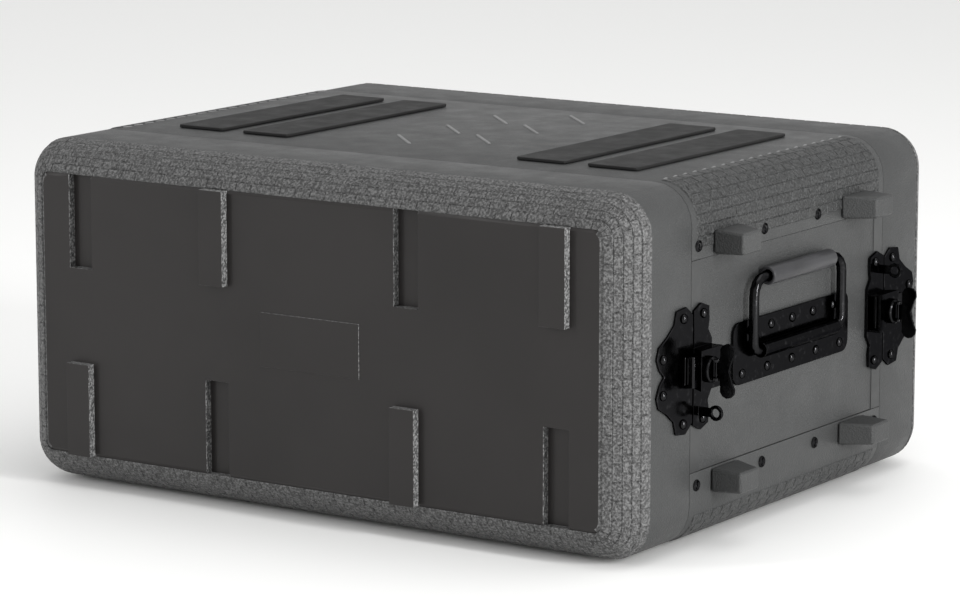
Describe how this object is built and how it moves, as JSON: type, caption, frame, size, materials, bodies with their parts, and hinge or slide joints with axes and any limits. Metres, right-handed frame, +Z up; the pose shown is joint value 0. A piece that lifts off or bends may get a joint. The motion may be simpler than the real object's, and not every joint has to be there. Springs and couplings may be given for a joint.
{
  "type": "equipment rack case",
  "caption": "Portable equipment rack case with a ribbed interior, drilled rack rails, two latched pull-off covers, folding side handles and stacking pads.",
  "frame": {"origin": "on the floor plane under the middle of the case", "axes": "+Z up, -Y towards the front cover, +X to the right seen from the front"},
  "size_m": [0.5758, 0.4302, 0.2505],
  "materials": {
    "moulding": "fine leather grain, charcoal black",
    "cover": "satin charcoal panel with a coarse grained border",
    "rubber": "smooth matt rubber",
    "rail": "white powder coat",
    "black_steel": "gloss black plated steel",
    "grip": "satin rubber tube"
  },
  "bodies": {
    "case": {"top_shell": "moulding", "bottom_shell": "moulding", "left_side_panel": "moulding", "right_side_panel": "moulding", "floor_tray": "moulding", "ceiling_tray": "moulding", "front_gasket": "rubber", "rear_gasket": "rubber", "left_handle_plate": "black_steel", "front_left_rack_rail": "rail", "front_left_bottom_side_foot": "moulding", "front_left_top_side_foot": "moulding", "front_left_latch_base": "black_steel", "rear_left_rack_rail": "rail", "rear_left_bottom_side_foot": "moulding", "rear_left_top_side_foot": "moulding", "rear_left_latch_base": "black_steel", "right_handle_plate": "black_steel", "front_right_rack_rail": "rail", "front_right_bottom_side_foot": "moulding", "front_right_top_side_foot": "moulding", "front_right_latch_base": "black_steel", "rear_right_rack_rail": "rail", "rear_right_bottom_side_foot": "moulding", "rear_right_top_side_foot": "moulding", "rear_right_latch_base": "black_steel", "bottom_left_pad_1": "rubber", "bottom_left_pad_2": "rubber", "top_left_pad_1": "rubber", "top_left_pad_2": "rubber", "bottom_right_pad_1": "rubber", "bottom_right_pad_2": "rubber", "top_right_pad_1": "rubber", "top_right_pad_2": "rubber"},
    "front_cover": {"front_cover": "cover", "front_left_latch_keeper": "black_steel", "front_right_latch_keeper": "black_steel"},
    "rear_cover": {"rear_cover": "cover", "rear_left_latch_keeper": "black_steel", "rear_right_latch_keeper": "black_steel"},
    "left_handle": {"left_handle_bail": "black_steel", "left_handle_grip": "grip"},
    "front_left_claw": {"front_left_latch_claw": "black_steel"},
    "front_left_rotor": {"front_left_latch_rotor": "black_steel"},
    "front_left_wing": {"front_left_latch_wing": "black_steel"},
    "rear_left_claw": {"rear_left_latch_claw": "black_steel"},
    "rear_left_rotor": {"rear_left_latch_rotor": "black_steel"},
    "rear_left_wing": {"rear_left_latch_wing": "black_steel"},
    "right_handle": {"right_handle_bail": "black_steel", "right_handle_grip": "grip"},
    "front_right_claw": {"front_right_latch_claw": "black_steel"},
    "front_right_rotor": {"front_right_latch_rotor": "black_steel"},
    "front_right_wing": {"front_right_latch_wing": "black_steel"},
    "rear_right_claw": {"rear_right_latch_claw": "black_steel"},
    "rear_right_rotor": {"rear_right_latch_rotor": "black_steel"},
    "rear_right_wing": {"rear_right_latch_wing": "black_steel"}
  },
  "joints": [
    {"name": "front_cover_pull", "type": "slide", "parent": "case", "child": "front_cover", "axis": [0, -1, 0], "range_m": [0, 0.25]},
    {"name": "rear_cover_pull", "type": "slide", "parent": "case", "child": "rear_cover", "axis": [0, 1, 0], "range_m": [0, 0.25]},
    {"name": "left_handle_fold", "type": "hinge", "parent": "case", "child": "left_handle", "pos_m": [-0.26355, 0, 0.12525], "axis": [0, -1, 0], "range_deg": [0, 90], "stiffness_Nm_per_rad": 0.2, "springref_deg": -11.46},
    {"name": "front_left_latch_turn", "type": "hinge", "parent": "case", "child": "front_left_rotor", "pos_m": [-0.2712, -0.12785, 0.12525], "axis": [-1, 0, 0], "range_deg": [0, 180]},
    {"name": "front_left_latch_hook", "type": "hinge", "parent": "case", "child": "front_left_claw", "pos_m": [-0.2629, -0.11385, 0.12525], "axis": [0, 0, 1], "range_deg": [0, 6.5]},
    {"name": "front_left_latch_wing_fold", "type": "hinge", "parent": "front_left_rotor", "child": "front_left_wing", "pos_m": [-0.2737, -0.12785, 0.12525], "axis": [0, 0, -1], "range_deg": [0, 90]},
    {"name": "rear_left_latch_turn", "type": "hinge", "parent": "case", "child": "rear_left_rotor", "pos_m": [-0.2712, 0.12785, 0.12525], "axis": [-1, 0, 0], "range_deg": [0, 180]},
    {"name": "rear_left_latch_hook", "type": "hinge", "parent": "case", "child": "rear_left_claw", "pos_m": [-0.2629, 0.11385, 0.12525], "axis": [0, 0, -1], "range_deg": [0, 6.5]},
    {"name": "rear_left_latch_wing_fold", "type": "hinge", "parent": "rear_left_rotor", "child": "rear_left_wing", "pos_m": [-0.2737, 0.12785, 0.12525], "axis": [0, 0, 1], "range_deg": [0, 90]},
    {"name": "right_handle_fold", "type": "hinge", "parent": "case", "child": "right_handle", "pos_m": [0.26355, 0, 0.12525], "axis": [0, 1, 0], "range_deg": [0, 90], "stiffness_Nm_per_rad": 0.2, "springref_deg": -11.46},
    {"name": "front_right_latch_turn", "type": "hinge", "parent": "case", "child": "front_right_rotor", "pos_m": [0.2712, -0.12785, 0.12525], "axis": [1, 0, 0], "range_deg": [0, 180]},
    {"name": "front_right_latch_hook", "type": "hinge", "parent": "case", "child": "front_right_claw", "pos_m": [0.2629, -0.11385, 0.12525], "axis": [0, 0, -1], "range_deg": [0, 6.5]},
    {"name": "front_right_latch_wing_fold", "type": "hinge", "parent": "front_right_rotor", "child": "front_right_wing", "pos_m": [0.2737, -0.12785, 0.12525], "axis": [0, 0, 1], "range_deg": [0, 90]},
    {"name": "rear_right_latch_turn", "type": "hinge", "parent": "case", "child": "rear_right_rotor", "pos_m": [0.2712, 0.12785, 0.12525], "axis": [1, 0, 0], "range_deg": [0, 180]},
    {"name": "rear_right_latch_hook", "type": "hinge", "parent": "case", "child": "rear_right_claw", "pos_m": [0.2629, 0.11385, 0.12525], "axis": [0, 0, 1], "range_deg": [0, 6.5]},
    {"name": "rear_right_latch_wing_fold", "type": "hinge", "parent": "rear_right_rotor", "child": "rear_right_wing", "pos_m": [0.2737, 0.12785, 0.12525], "axis": [0, 0, -1], "range_deg": [0, 90]}
  ],
  "couplings": [
    {"joint": "front_left_latch_hook", "follows": "front_left_latch_turn", "ratio": 0.036111},
    {"joint": "rear_left_latch_hook", "follows": "rear_left_latch_turn", "ratio": 0.036111},
    {"joint": "front_right_latch_hook", "follows": "front_right_latch_turn", "ratio": 0.036111},
    {"joint": "rear_right_latch_hook", "follows": "rear_right_latch_turn", "ratio": 0.036111}
  ]
}
